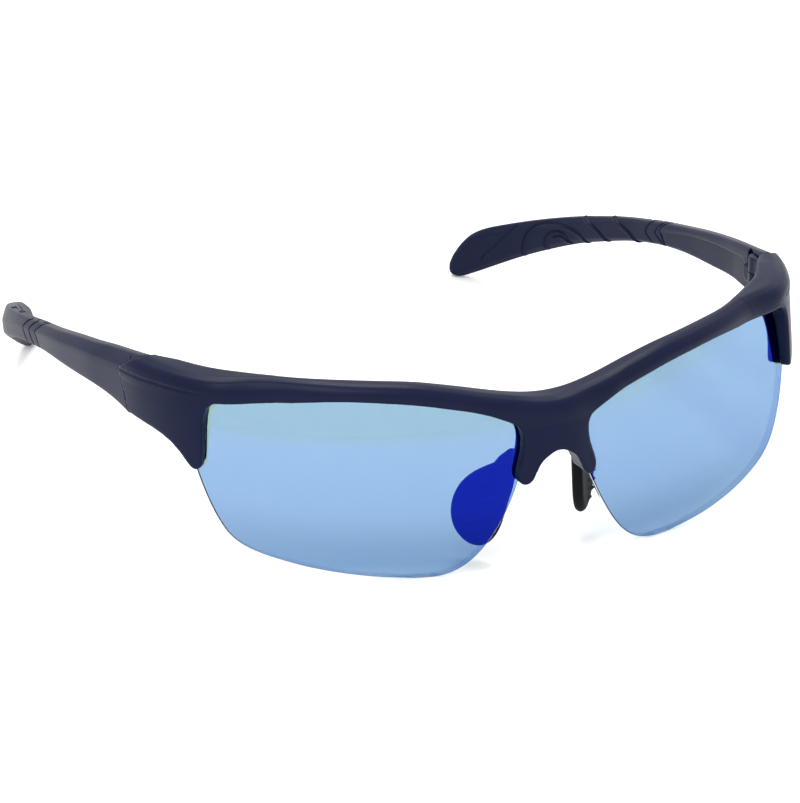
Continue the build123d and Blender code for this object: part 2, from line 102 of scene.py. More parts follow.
def rounded(points, times=3):
    """An outline whose corners are rounded while the middle of each side stays."""
    p = np.array(points, float)
    mid = (p + np.roll(p, -1, 0)) / 2
    return chaikin(np.stack([p, mid], 1).reshape(-1, 2), times)


def outline_distance(p, x, y):
    """Signed distance to a closed outline, negative inside."""
    d2 = np.full(x.shape, 1e9)
    inside = np.zeros(x.shape, bool)
    for (x0, y0), (x1, y1) in zip(p, np.roll(p, -1, 0)):
        ex, ey = x1 - x0, y1 - y0
        l2 = ex * ex + ey * ey
        if l2 < 1e-12:
            continue
        wx, wy = x - x0, y - y0
        t = np.clip((wx * ex + wy * ey) / l2, 0, 1)
        d2 = np.minimum(d2, (wx - t * ex) ** 2 + (wy - t * ey) ** 2)
        if y0 != y1:
            inside ^= ((y0 > y) != (y1 > y)) & (x < ex * (y - y0) / ey + x0)
    d = np.sqrt(d2)
    return np.where(inside, -d, d)


class Outline:
    """Signed distance to a closed plane outline, looked up on a fine grid."""

    def __init__(self, points, h=0.12, pad=4.0):
        p = np.array(points, float)
        self.lo, self.h = p.min(0) - pad, h
        n = np.ceil((p.max(0) + pad - self.lo) / h).astype(int) + 2
        x, y = np.meshgrid(self.lo[0] + np.arange(n[0]) * h, self.lo[1] + np.arange(n[1]) * h, indexing="ij")
        self.v = outline_distance(p, x, y).astype(np.float32)

    def __call__(self, a, b):
        n0, n1 = self.v.shape
        fa, fb = (a - self.lo[0]) / self.h, (b - self.lo[1]) / self.h
        ca, cb = np.clip(fa, 0, n0 - 1.001), np.clip(fb, 0, n1 - 1.001)
        i, j = ca.astype(np.int64), cb.astype(np.int64)
        p, q = ca - i, cb - j
        v = self.v
        base = (v[i, j] * (1 - p) + v[i + 1, j] * p) * (1 - q) + (v[i, j + 1] * (1 - p) + v[i + 1, j + 1] * p) * q
        return base + (np.abs(fa - ca) + np.abs(fb - cb)) * self.h


class Plan:
    """For a curve seen from above: how far along it and how deep inside it a point is."""

    def __init__(self, fx, fy, t0, t1, step, lo, hi, h=0.25):
        t = np.arange(t0, t1, step)
        x, y = fx(t), fy(t)
        tx, ty = np.gradient(x), np.gradient(y)
        n = np.hypot(tx, ty)
        speed = n / step
        tx, ty = tx / n, ty / n
        self.lo, self.h = np.array(lo, float), h
        m = np.ceil((np.array(hi, float) - self.lo) / h).astype(int) + 1
        gx, gy = np.meshgrid(self.lo[0] + np.arange(m[0]) * h, self.lo[1] + np.arange(m[1]) * h, indexing="ij")
        px, py = gx.ravel(), gy.ravel()
        best = np.zeros(len(px), np.int64)
        for k in range(0, len(px), 20000):
            s = slice(k, k + 20000)
            best[s] = ((px[s, None] - x[None]) ** 2 + (py[s, None] - y[None]) ** 2).argmin(1)
        dx, dy = px - x[best], py - y[best]
        self.t = (t[best] + (dx * tx[best] + dy * ty[best]) / speed[best]).reshape(m)
        self.d = (-dx * ty[best] + dy * tx[best]).reshape(m)

    def __call__(self, x, y):
        n0, n1 = self.t.shape
        fa = np.clip((x - self.lo[0]) / self.h, 0, n0 - 1.001)
        fb = np.clip((y - self.lo[1]) / self.h, 0, n1 - 1.001)
        i, j = fa.astype(np.int64), fb.astype(np.int64)
        p, q = fa - i, fb - j
        return tuple(
            (v[i, j] * (1 - p) + v[i + 1, j] * p) * (1 - q) + (v[i, j + 1] * (1 - p) + v[i + 1, j + 1] * p) * q
            for v in (self.t, self.d)
        )


class Swept:
    """Signed distance to a cross section that changes along a curve, in (t, depth, height)."""

    def __init__(self, section, t, d, z):
        self.lo = (t[0], d[0], z[0])
        self.h = (t[1] - t[0], d[1] - d[0], z[1] - z[0])
        gd, gz = np.meshgrid(d, z, indexing="ij")
        self.v = np.stack([outline_distance(np.array(section(k), float), gd, gz) for k in t]).astype(np.float32)

    def __call__(self, t, d, z):
        n = self.v.shape
        f = [(q - lo) / h for q, lo, h in zip((t, d, z), self.lo, self.h)]
        c = [np.clip(q, 0, m - 1.001) for q, m in zip(f, n)]
        i, j, k = (q.astype(np.int64) for q in c)
        p, q, r = c[0] - i, c[1] - j, c[2] - k
        v = self.v
        a = v[i, j, k] * (1 - r) + v[i, j, k + 1] * r
        b = v[i, j + 1, k] * (1 - r) + v[i, j + 1, k + 1] * r
        low = a * (1 - q) + b * q
        a = v[i + 1, j, k] * (1 - r) + v[i + 1, j, k + 1] * r
        b = v[i + 1, j + 1, k] * (1 - r) + v[i + 1, j + 1, k + 1] * r
        base = low * (1 - p) + (a * (1 - q) + b * q) * p
        return base + np.abs(f[1] - c[1]) * self.h[1] + np.abs(f[2] - c[2]) * self.h[2]


def smin(a, b, k):
    h = np.clip(0.5 + 0.5 * (b - a) / k, 0, 1)
    return b + (a - b) * h - k * h * (1 - h)


def smax(a, b, k):
    return -smin(-a, -b, k)


def slab(v, lo, hi):
    return np.maximum(lo - v, v - hi)


def block(x, y, z, x0, x1, y0, y1, z0, z1):
    return np.maximum(np.maximum(slab(x, x0, x1), slab(y, y0, y1)), slab(z, z0, z1))


def post(x, y, z, cx, cy, r, z0, z1):
    return np.maximum(np.hypot(x - cx, y - cy) - r, slab(z, z0, z1))


# --------------------------------------------------- surface of a distance field
def surface(f, lo, hi, h, steps=3):
    """Vertices and quads of the surface f = 0 (negative inside), within a box."""
    c = 4
    lo, hi = np.array(lo, float), np.array(hi, float)
    m = np.ceil((hi - lo) / (h * c)).astype(int) + 1  # coarse points
    n = (m - 1) * c + 1
    axes = [lo[k] + np.arange(m[k]) * h * c for k in range(3)]
    g = np.stack(np.meshgrid(*axes, indexing="ij"), -1).reshape(-1, 3)
    coarse = f(g[:, 0], g[:, 1], g[:, 2]).reshape(m)
    near = np.abs(coarse) < h * c * 1.5
    cell = np.zeros(m - 1, bool)
    for i in (0, 1):
        for j in (0, 1):
            for k in (0, 1):
                cell |= near[i : m[0] - 1 + i, j : m[1] - 1 + j, k : m[2] - 1 + k]
    v = np.repeat(np.repeat(np.repeat(np.where(coarse[:-1, :-1, :-1] < 0, -9.0, 9.0), c, 0), c, 1), c, 2)
    v = np.pad(v, ((0, 1), (0, 1), (0, 1)), mode="edge").astype(np.float32)
    mask = np.repeat(np.repeat(np.repeat(cell, c, 0), c, 1), c, 2)
    full = np.zeros(n, bool)
    for i in (0, 1):
        for j in (0, 1):
            for k in (0, 1):
                full[i : n[0] - 1 + i, j : n[1] - 1 + j, k : n[2] - 1 + k] |= mask
    at = np.argwhere(full)
    p = lo + at * h
    val = np.empty(len(p), np.float32)
    for s in range(0, len(p), 400000):
        q = p[s : s + 400000]
        val[s : s + 400000] = f(q[:, 0], q[:, 1], q[:, 2])
    v[at[:, 0], at[:, 1], at[:, 2]] = val
    inside = v < 0
    count = np.zeros(n - 1, np.int8)
    for i in (0, 1):
        for j in (0, 1):
            for k in (0, 1):
                count += inside[i : n[0] - 1 + i, j : n[1] - 1 + j, k : n[2] - 1 + k]
    cells = np.argwhere((count > 0) & (count < 8))
    total, hits = np.zeros((len(cells), 3)), np.zeros(len(cells))
    corners = [(i, j, k) for i in (0, 1) for j in (0, 1) for k in (0, 1)]
    for a in corners:
        for b in corners:
            if a < b and sum(abs(x - y) for x, y in zip(a, b)) == 1:
                ca, cb = cells + a, cells + b
                va, vb = v[tuple(ca.T)], v[tuple(cb.T)]
                cross = (va < 0) != (vb < 0)
                t = np.where(cross, va / np.where(cross, va - vb, 1), 0)
                total += np.where(cross[:, None], np.array(a) + t[:, None] * (np.array(b) - np.array(a)), 0)
                hits += cross
    pts = lo + (cells + total / hits[:, None]) * h
    index = np.full(n - 1, -1, np.int64)
    index[tuple(cells.T)] = np.arange(len(cells))
    quads = []
    for axis in range(3):
        o1, o2 = [k for k in range(3) if k != axis]
        sa = [slice(None)] * 3
        sb = [slice(None)] * 3
        sa[axis], sb[axis] = slice(0, -1), slice(1, None)
        change = inside[tuple(sa)] != inside[tuple(sb)]
        e = np.argwhere(change)
        ok = (e[:, o1] > 0) & (e[:, o2] > 0) & (e[:, o1] < n[o1] - 1) & (e[:, o2] < n[o2] - 1)
        e = e[ok]
        first = inside[tuple(e.T)]
        u1, u2 = np.zeros(3, int), np.zeros(3, int)
        u1[o1], u2[o2] = 1, 1
        ring = np.stack([index[tuple((e - u1 - u2).T)], index[tuple((e - u2).T)], index[tuple(e.T)], index[tuple((e - u1).T)]], 1)
        flip = first if axis != 1 else ~first
        ring[~flip] = ring[~flip][:, ::-1]
        quads.append(ring)
    quads = np.concatenate(quads)
    e = 0.02
    for _ in range(steps):  # onto the true surface
        val = f(pts[:, 0], pts[:, 1], pts[:, 2])
        grad = np.stack(
            [
                (f(*(pts + np.eye(3)[k] * e).T) - f(*(pts - np.eye(3)[k] * e).T)) / (2 * e)
                for k in range(3)
            ],
            1,
        )
        g2 = np.maximum((grad**2).sum(1), 0.2)
        move = -(val / g2)[:, None] * grad
        size = np.linalg.norm(move, axis=1, keepdims=True)
        pts = pts + move * np.minimum(1, 0.45 * h / np.maximum(size, 1e-9))
    return pts, quads


def mesh_piece(name, pts, faces, mats, body, replaces=(), flip=False, face_mats=None, smooth=True):
    """A mesh of points in working millimetres, placed in the row frame, riding on a body."""
    co = (np.asarray(pts, float) - (0, Y0, Z0)) * 0.001
    me = bpy.data.meshes.new(name)
    f = np.asarray(faces, np.int64)
    if flip:
        f = f[:, ::-1]
    me.vertices.add(len(co))
    me.vertices.foreach_set("co", co.astype(np.float32).ravel())
    me.loops.add(f.size)
    me.loops.foreach_set("vertex_index", f.ravel().astype(np.int32))
    me.polygons.add(len(f))
    me.polygons.foreach_set("loop_start", (np.arange(len(f)) * f.shape[1]).astype(np.int32))
    for m in mats:
        me.materials.append(m)
    if face_mats is not None:
        me.polygons.foreach_set("material_index", np.asarray(face_mats, np.int32))
    me.update(calc_edges=True)
    me.validate()
    me.polygons.foreach_set("use_smooth", np.full(len(me.polygons), smooth))
    me.update()
    ob = bpy.data.objects.new(name, me)
    bpy.context.scene.collection.objects.link(ob)
    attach(ob, body)
    if replaces:
        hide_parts(*replaces)
    return ob


# ------------------------------------------------------------------ front frame
Y0, Z0 = 77.6, 0.8  # working frame's origin in the row frame, mm
LENS_C, LENS_R, LENS_T = (5.2, 83.4, 14.3), 79.2, 1.7
FRONT_R, NOSE_BACK, ARC_END = 81.0, 7.3, 42.0
PX, PY, KNUCKLE_R, POCKET_R = 65.7, 45.6, 2.2, 2.55
FORK_BOTTOM, TONGUE_BOTTOM, TONGUE_TOP, FORK_TOP, TONGUE_GAP = 28.6, 31.75, 35.15, 38.3, 0.08
LIP_Y = 49.8
SIDE = [
    (59.4, 23.2), (61.55, 25.25), (63.6, 27.6), (65.75, 31.0), (67.4, 35.0),
    (68.55, 39.0), (69.35, 43.0), (69.75, 46.0), (70.1, 49.5),
]
BROW = [
    (0.0, 0.0, 31.2, 6.5, 34.6), (2.6, 0.15, 31.2, 6.5, 34.7), (5.2, 0.75, 31.2, 6.7, 35.0),
    (9.0, 1.5, 31.6, 7.1, 35.6), (13.0, 2.0, 33.1, 7.6, 36.3), (17.0, 2.6, 34.05, 8.0, 37.05),
    (21.5, 3.0, 34.95, 8.1, 37.9), (27.0, 3.3, 35.9, 8.0, 38.8), (34.0, 3.5, 36.6, 8.0, 39.3),
    (42.0, 3.7, 36.9, 8.1, 39.55), (50.0, 4.0, 36.4, 7.9, 39.75), (57.0, 4.0, 35.7, 8.3, 39.75),
    (62.0, 2.9, 35.3, 8.5, 39.7), (66.5, 1.7, 35.3, 8.4, 39.7), (70.5, 1.45, 35.3, 8.1, 39.75),
    (75.0, 1.15, 35.3, 7.8, 39.8), (79.5, 0.8, 35.0, 7.1, 39.85), (84.0, 0.35, 34.8, 6.0, 39.9),
    (87.5, 0.1, 34.6, 4.7, 40.0), (91.5, 0.0, 34.4, 4.6, 39.9),
]
PANEL = [
    (60.0, 0.3, 0.7, 1.9, 4.9, 7.2), (66.0, 0.1, 0.6, 1.7, 4.8, 7.2), (70.5, 0.0, 0.55, 1.5, 4.7, 7.0),
    (75.0, 0.1, 0.55, 1.15, 4.6, 6.6), (79.5, 0.35, 0.5, 0.8, 4.6, 6.0), (84.0, 0.6, 0.45, 0.35, 4.6, 5.4),
    (88.0, 0.7, 0.4, 0.05, 4.6, 4.6), (91.5, 0.7, 0.4, 0.0, 4.6, 4.5),
]
LEG_OUTLINE = [
    (24.0, 46.0), (24.0, 28.2), (17.0, 28.0), (13.9, 27.85), (11.0, 27.6), (8.4, 27.1),
    (5.9, 26.2), (3.7, 24.7), (2.3, 23.3), (1.3, 22.4), (0.6, 22.15), (-0.05, 22.35),
    (-0.4, 22.9), (-0.5, 24.0), (-0.45, 28.0), (-0.3, 31.0), (-0.45, 32.6), (-0.9, 33.8),
    (-1.7, 34.8), (-2.8, 35.4), (-4.5, 35.65), (-8.0, 35.9), (-12.0, 36.3), (-12.0, 46.0),
]
NOSE_OUTLINE = [
    (0.0, 25.0), (0.8, 24.9), (1.5, 24.65), (2.1, 24.3), (2.8, 23.85), (3.5, 23.3), (4.0, 22.7),
    (4.4, 22.0), (4.7, 21.3), (4.96, 20.9), (5.25, 20.1), (5.65, 19.4), (6.15, 18.95), (6.6, 18.75),
    (7.15, 18.8), (7.6, 19.2), (7.9, 20.0), (7.89, 21.0), (7.65, 21.9), (7.38, 22.8), (7.1, 23.65),
    (6.82, 24.5), (6.65, 25.5), (6.53, 26.4), (6.5, 27.3), (6.6, 28.3), (6.93, 29.2), (7.45, 29.95),
    (8.2, 30.7), (9.0, 31.35), (10.0, 31.95), (11.2, 32.5), (12.5, 33.1),
    (14.5, 33.85), (17.0, 34.8), (19.5, 35.8), (20.5, 36.2), (17.0, 35.7), (12.5, 34.7), (6.0, 33.9), (0.0, 33.5),
]
NOSE_PLAN = cubic([(0.0, 1.0), (2.5, 1.15), (4.5, 1.55), (6.2, 2.1), (7.8, 2.5), (10.0, 2.65), (13.0, 3.1), (16.0, 4.8), (20.0, 8.4), (22.0, 10.2)])
SEAM = [(42.4, 42.5), (43.0, 39.8), (48.4, 36.2), (45.6, 27.6), (45.2, 25.5)]
LENS_OUTLINE = [
    (8.2, 32.4), (6.7, 31.0), (5.9, 29.3), (5.6, 27.2), (5.75, 25.0), (6.25, 22.6), (6.95, 20.2),
    (7.8, 17.5), (8.9, 14.8), (10.1, 12.3), (11.5, 9.8), (13.0, 7.4), (14.7, 5.2), (16.5, 3.45),
    (18.4, 2.1), (20.4, 1.25), (22.4, 0.85), (23.6, 0.8),
]
LENS_REST = [
    (27.0, 0.8), (30.0, 1.05), (33.1, 1.35), (37.2, 1.85), (41.3, 2.55), (45.3, 3.4), (49.2, 4.5),
    (53.0, 5.8), (55.6, 7.2), (57.5, 9.0), (59.1, 11.7), (60.6, 15.5), (61.7, 19.3),
    (62.35, 22.2), (62.75, 24.5), (63.0, 28.0), (63.1, 31.0), (62.7, 33.6), (61.6, 35.4),
    (59.6, 36.2), (56.0, 36.7),
    (50.0, 37.3), (44.0, 37.75), (38.0, 37.75), (32.0, 37.5), (26.0, 36.7), (20.0, 35.5), (15.0, 34.4),
    (11.0, 33.4), (8.2, 32.4),
]
lens_line = np.concatenate([through(LENS_OUTLINE, 90), through(LENS_REST, 240)[:-1]])

rows, u = [(k * 2.6, k * 2.6, 2.4) for k in range(-2, 3)], 0.0
for k in range(1, 15):
    phi = math.radians(ARC_END) * k / 14
    rows.append((5.2 + FRONT_R * phi, 5.2 + FRONT_R * math.sin(phi), 83.4 - FRONT_R * math.cos(phi)))
u = rows[-1][0]
for (x0, y0), (x1, y1) in zip(SIDE, SIDE[1:]):
    u += math.hypot(x1 - x0, y1 - y0)
    rows.append((u, x1, y1))
plan_x, plan_y = cubic([(r[0], r[1]) for r in rows]), cubic([(r[0], r[2]) for r in rows])
front_plan = Plan(plan_x, plan_y, -3.0, 97.0, 0.1, (-1.0, -4.0), (75.0, 58.0))
crease_z = cubic([(56.0, 36.4), (62.0, 36.7), (68.0, 36.9), (75.0, 36.95), (82.0, 36.75), (90.0, 36.3), (95.0, 36.0)])
brow_rows = [cubic([(r[0], r[i]) for r in BROW]) for i in range(1, 5)]
panel_rows = [cubic([(r[0], r[i]) for r in PANEL]) for i in range(1, 6)]


def brow_front(u):
    """The front and top of the band, from just above the lip to the back edge."""
    d_l, z_l, d_b, z_b = (float(q(u)) for q in brow_rows)
    h = z_b - z_l
    side = min(max((u - 60.0) / 10.0, 0.0), 1.0)
    inner = min(max((u - 81.0) / 5.0, 0.0), 1.0) * (1.0 - 0.7 * min(max((u - 86.0) / 2.0, 0.0), 1.0))
    z_c = z_l + 0.30 * h if u < 60 else (1 - side) * (z_l + 0.30 * h) + side * float(crease_z(u))
    return [
        (d_l - 0.02 - 0.18 * side, z_c), (d_l + 0.1 + 0.2 * (1 - side), z_c + 0.42 * (z_b - z_c)),
        (d_l + 0.9 + 0.3 * (1 - side), z_c + (0.80 - 0.05 * side) * (z_b - z_c)), (d_l + 2.5 + 0.4 * side, z_b - 0.03 - 0.06 * side),
        (d_b - 0.6, z_b - 0.05 - 0.25 * inner + 0.12 * side), (d_b + 0.15 * side, z_b - 0.42 - 0.3 * inner + 0.2 * side),
    ]


def brow_outline(u):
    d_l, z_l, d_b, z_b = (float(q(u)) for q in brow_rows)
    e = 0.35 * min(max((60.0 - u) / 8.0, 0.0), 1.0)
    lip = [(d_b, z_l - 0.2), (d_b - 0.7, z_l - 0.7), (d_l + 1.0, z_l - 0.30 - e), (d_l + 0.3, z_l - 0.22 - e), (d_l, z_l + 0.10 - e)]
    return rounded(brow_front(u) + lip, 2)


def panel_outline(u):
    """Side panel and the band above it in one outline, so that they run flush."""
    a, b, c, e, f = (float(q(u)) for q in panel_rows)
    d_l, z_l, d_b, z_b = (float(q(u)) for q in brow_rows)
    top = brow_front(u)
    groove = 0.10 * min(max((u - 61.0) / 9.0, 0.0), 1.0)
    line = cubic([(14.0, a + 0.06), (19.0, a), (29.0, b), (top[0][1], top[0][0] + 0.1 + groove)])
    low = [(float(line(z)), z) for z in (15.0, 18.0, 21.0, 24.0, 27.0, 29.5, 32.0, 34.3)] + [(top[0][0] + groove + 0.1, top[0][1] - 0.12)]
    return rounded(low + top + [(d_b, z_l), (f, 34.0), (e + 0.3, 28.0), (e, 15.0)], 2)


brow_field = Swept(brow_outline, np.arange(-2.0, 95.0, 1.0), np.arange(-2.5, 12.0, 0.15), np.arange(28.0, 42.5, 0.15))
panel_field = Swept(panel_outline, np.arange(50.0, 95.0, 1.0), np.arange(-2.5, 12.0, 0.15), np.arange(16.0, 42.5, 0.15))
leg_side = Outline(rounded(LEG_OUTLINE, 2))
nose_side = Outline(rounded([(-x, z) for x, z in NOSE_OUTLINE[:0:-1]] + NOSE_OUTLINE, 2))
seam_side = Outline([(42.9, 52.0)] + SEAM + [(44.6, 10.0), (0.0, 10.0), (0.0, 52.0)], 0.15)
lens_side = Outline(lens_line, 0.1)


def lens_shell(x, y, z, grow):
    r = np.sqrt((x - LENS_C[0]) ** 2 + (y - LENS_C[1]) ** 2 + (z - LENS_C[2]) ** 2)
    shell = np.abs(r - (LENS_R - LENS_T / 2)) - LENS_T / 2 - grow
    return np.maximum(shell, lens_side(x, z) - grow)


def front_frame(x, y, z):
    x = np.abs(x)
    u, d = front_plan(x, y)
    r = np.sqrt((x - LENS_C[0]) ** 2 + (y - LENS_C[1]) ** 2 + (z - LENS_C[2]) ** 2)
    behind_lens = np.maximum(LENS_R - LENS_T - r, 0.0)
    brow = brow_field(u, d, z)
    # behind the lens the opening is a little wider than in front of it
    back = np.clip((LENS_R - 0.5 - r) / 1.1, 0, 1)
    a = (x - 63.0) * 0.66 + (y - 27.0) * 0.751 - (0.65 * back * back * (3 - 2 * back) + 0.22 * behind_lens) * np.clip((36.5 - z) / 2.0, 0, 1)
    panel = smax(panel_field(u, d, z), leg_side(a, z) - 0.25, 0.7)
    panel = np.where(u < 53.0, np.maximum(panel, 3.0), panel)
    lean = ((z - 14.3) ** 2 - 7.7**2) / 162.0
    ahead = NOSE_PLAN(x) + lean - y
    behind = y - (lean * 0.9 + NOSE_BACK - 0.2 + 0.085 * x - 0.45 * np.maximum(x - 9.0, 0))
    nose = smax(nose_side(x + 0.35 * behind_lens * np.clip((x - 5.0) / 1.5, 0, 1), z) - 0.25, smax(ahead, behind, 0.8), 0.8)
    shell = smin(brow, panel, 0.15)
    # the crease between the band and the side panel is a fine cut line
    fine = 0.27 * np.clip((u - 64.0) / 8.0, 0, 1)
    crease = np.where((x > 50.0) & (d < 2.5), np.hypot(z - crease_z(np.clip(u, 56.0, 95.0)) + 0.1, shell) - fine, 9.0)
    shell = np.where(fine > 0.02, smax(shell, -crease, 0.06), shell)
    f = smin(shell, nose, 1.2)
    f = smax(f, np.where(x > 58.0, seam_side(y, z), -9.0), 0.08)
    f = np.maximum(f, -block(x, y, z, 60, PX + 1.2, PY - 1.9, 60, 20, 45))
    f = np.maximum(f, -post(x, y, z, PX, PY, POCKET_R, 20, 45))
    fork = smin(
        post(x, y, z, PX, PY, KNUCKLE_R, FORK_BOTTOM, FORK_TOP),
        block(x, y, z, PX - 2.0, PX + 2.2, PY - 4.4, PY, FORK_BOTTOM, FORK_TOP), 0.3,
    )
    f = smin(f, fork, 0.4)
    f = np.maximum(f, -post(x, y, z, PX, PY, POCKET_R, TONGUE_BOTTOM, TONGUE_TOP))
    f = np.maximum(f, -block(x, y, z, PX - 6, PX + 0.2, PY - 2.2, PY + 4, TONGUE_BOTTOM, TONGUE_TOP))
    f = np.maximum(f, -post(x, y, z, PX, PY, 0.71, FORK_BOTTOM - 2, TONGUE_TOP + 2))
    f = np.maximum(f, -post(x, y, z, PX, PY, 1.36, FORK_BOTTOM - 2, FORK_BOTTOM + 0.9))
    # the lens sits in a groove that stays closed at the rear of the leg
    lug = (x - 63.0) * 0.66 + (y - 27.0) * 0.751
    end = np.where((lug > 0.8) & (x > 58.0), leg_side(lug, z) + 0.45, -9.0)
    return smax(f, -np.maximum(lens_shell(x, y, z, 0.05), end), 0.15)


# ---------------------------------------------------------------------- temples
TEMPLE = [
    (-0.04, 69.0, 38.4, 40.5, 37.80, 26.9), (0.00, 69.40, 42.93, 39.75, 37.15, 27.8),
    (0.06, 69.90, 49.70, 38.50, 36.15, 28.9), (0.12, 70.40, 56.40, 37.30, 35.10, 29.2),
    (0.19, 70.90, 63.00, 36.00, 34.10, 29.0), (0.25, 71.10, 69.70, 34.70, 32.90, 28.4),
    (0.31, 71.20, 76.70, 33.20, 31.60, 27.7), (0.38, 71.00, 84.00, 31.60, 30.10, 26.8),
    (0.44, 70.55, 91.40, 30.00, 28.40, 25.5), (0.50, 69.90, 98.80, 28.20, 26.60, 23.8),
    (0.56, 68.90, 106.2, 26.40, 24.50, 21.7), (0.62, 67.60, 113.4, 24.40, 22.20, 19.3),
    (0.69, 65.85, 120.6, 22.30, 19.75, 16.8), (0.75, 63.50, 127.45, 20.10, 17.10, 13.9),
    (0.81, 60.65, 134.0, 17.80, 14.30, 10.8), (0.88, 57.20, 140.4, 15.30, 11.40, 7.3),
    (0.94, 53.40, 146.4, 12.70, 8.40, 3.7), (1.00, 49.10, 152.25, 9.80, 5.40, 0.3),
]
t_x, t_y, t_top, t_ridge, t_bottom = (cubic([(r[0], r[i]) for r in TEMPLE]) for i in range(1, 6))
thick = cubic([(0, 4.6), (0.3, 4.0), (0.6, 3.6), (0.85, 3.2), (1.0, 2.6)])
leaning = cubic([(0, 2.6), (0.15, 2.0), (0.5, 1.2), (0.8, 0.9), (1.0, 0.7)])
temple_plan = Plan(t_x, t_y, -0.09, 1.03, 0.0008, (42.0, 34.0), (76.0, 158.0), 0.3)
TIP_SEAM = [(86.5, 34.5), (87.9, 31.0), (90.4, 28.7), (88.3, 26.0), (87.2, 24.0)]
ZREF = cubic([(-0.1, 34.0), (0.0, 33.8), (0.3, 30.3), (0.6, 22.0), (0.8, 14.5), (1.0, 5.5), (1.05, 3.5)])


def temple_outline(s):
    t, lean = float(thick(max(s, 0))), float(leaning(max(s, 0)))
    top, ridge, bottom, ref = (float(q(s)) for q in (t_top, t_ridge, t_bottom, ZREF))
    bottom -= 0.35 * min(max((0.40 - s) / 0.15, 0.0), 1.0)
    k = min(max((s - 0.48) / 0.25, 0.0), 1.0)  # the tip is rounder than the arm
    p = [
        (0.0, ridge), (0.55 * lean, ridge + 0.62 * (top - ridge)), (lean, top), (t - 0.7 - 0.35 * k, top + 0.05),
        (t, top - 0.55 - 0.75 * k), (t + 0.05, (top + bottom) / 2), (t, bottom + 0.1 + 0.8 * k), (t - 0.7 - 0.3 * k, bottom - 0.5),
        (1.0, bottom - 0.55), (0.35 - 0.1 * k, bottom - 0.2 + 0.5 * k),
    ]
    p = rounded(p, 2)
    return p - np.array([0.0, ref])


temple_field = Swept(temple_outline, np.arange(-0.09, 1.012, 0.006), np.arange(-2.0, 8.0, 0.12), np.arange(-8.5, 8.5, 0.12))
arm_front = Outline([(y + 0.12, z) for y, z in SEAM] + [(44.9, 10.0), (0.0, 10.0), (0.0, 52.0), (43.0, 52.0)], 0.12)
tip_region = Outline(TIP_SEAM + [(87.0, 0.0), (87.0, -20.0), (220.0, -20.0), (220.0, 60.0), (86.5, 60.0)], 0.2, 2.0)
CHANNEL = [
    (52.3, 35.2), (53.6, 35.35), (58.0, 34.6), (66.0, 33.5), (74.0, 32.2), (82.0, 30.5), (88.2, 28.8),
    (90.5, 27.5), (91.0, 20.0), (49.0, 20.0), (49.4, 30.6), (51.0, 32.6), (51.9, 34.4),
]
channel_side = Outline(chaikin(CHANNEL, 2))
tip_end = Outline(rounded([(s * 114.0, z) for s, z in [
    (0.30, 40.0), (0.70, 40.0), (0.885, 17.6), (0.915, 15.2), (0.942, 13.0), (0.964, 10.8), (0.982, 8.3),
    (0.996, 5.7), (1.003, 3.6), (1.003, 2.0), (0.996, 0.9), (0.980, 0.5), (0.955, 0.2), (0.90, -3.0), (0.30, -3.0),
]], 2), 0.15)


def temple_base(x, y, z):
    s, d = temple_plan(x, y)
    return temple_field(s, d, z - ZREF(s)), s, d


def temple_arm(x, y, z):
    f, s, d = temple_base(x, y, z)
    f = smax(f, -arm_front(y, z), 0.08)
    # the hinge pocket is open inwards and roofed over at the top
    roof = FORK_TOP + 0.15
    f = np.maximum(f, -block(x, y, z, 60, PX + 0.9, 30, LIP_Y, 20, roof))
    f = np.maximum(f, -post(x, y, z, PX, PY, POCKET_R, 20, roof))
    f = np.maximum(f, -block(x, y, z, 60, PX + 2.4, 30, PY + 0.5, 20, roof))
    corner = np.maximum(block(x, y, z, 55, PX + 0.9, 30, PY, 20, 45), 2.45 - np.hypot(x - PX, y - PY))
    f = np.maximum(f, -corner)
    lo, hi = TONGUE_BOTTOM + TONGUE_GAP, TONGUE_TOP - TONGUE_GAP
    tongue = np.minimum(
        post(x, y, z, PX, PY, KNUCKLE_R, lo, hi), block(x, y, z, PX - 0.8, PX + 1.7, PY, LIP_Y + 1.0, lo, hi)
    )
    f = np.minimum(f, tongue)
    f = np.maximum(f, -post(x, y, z, PX, PY, 0.76, 20, roof))
    deep = 1.25 * np.clip((0.415 - s) / 0.26, 0, 1) ** 0.8
    hollow = np.maximum(channel_side(y, z), thick(np.maximum(s, 0)) - deep - d)
    f = smax(f, -hollow, 0.6)
    return smax(f, -tip_region(y, z), 0.3)


# relief lines of the tip: (s, height) curves, on the inner or the outer face
def relief(points, n=24):
    return through([(s * 114.0, z) for s, z in points], n)


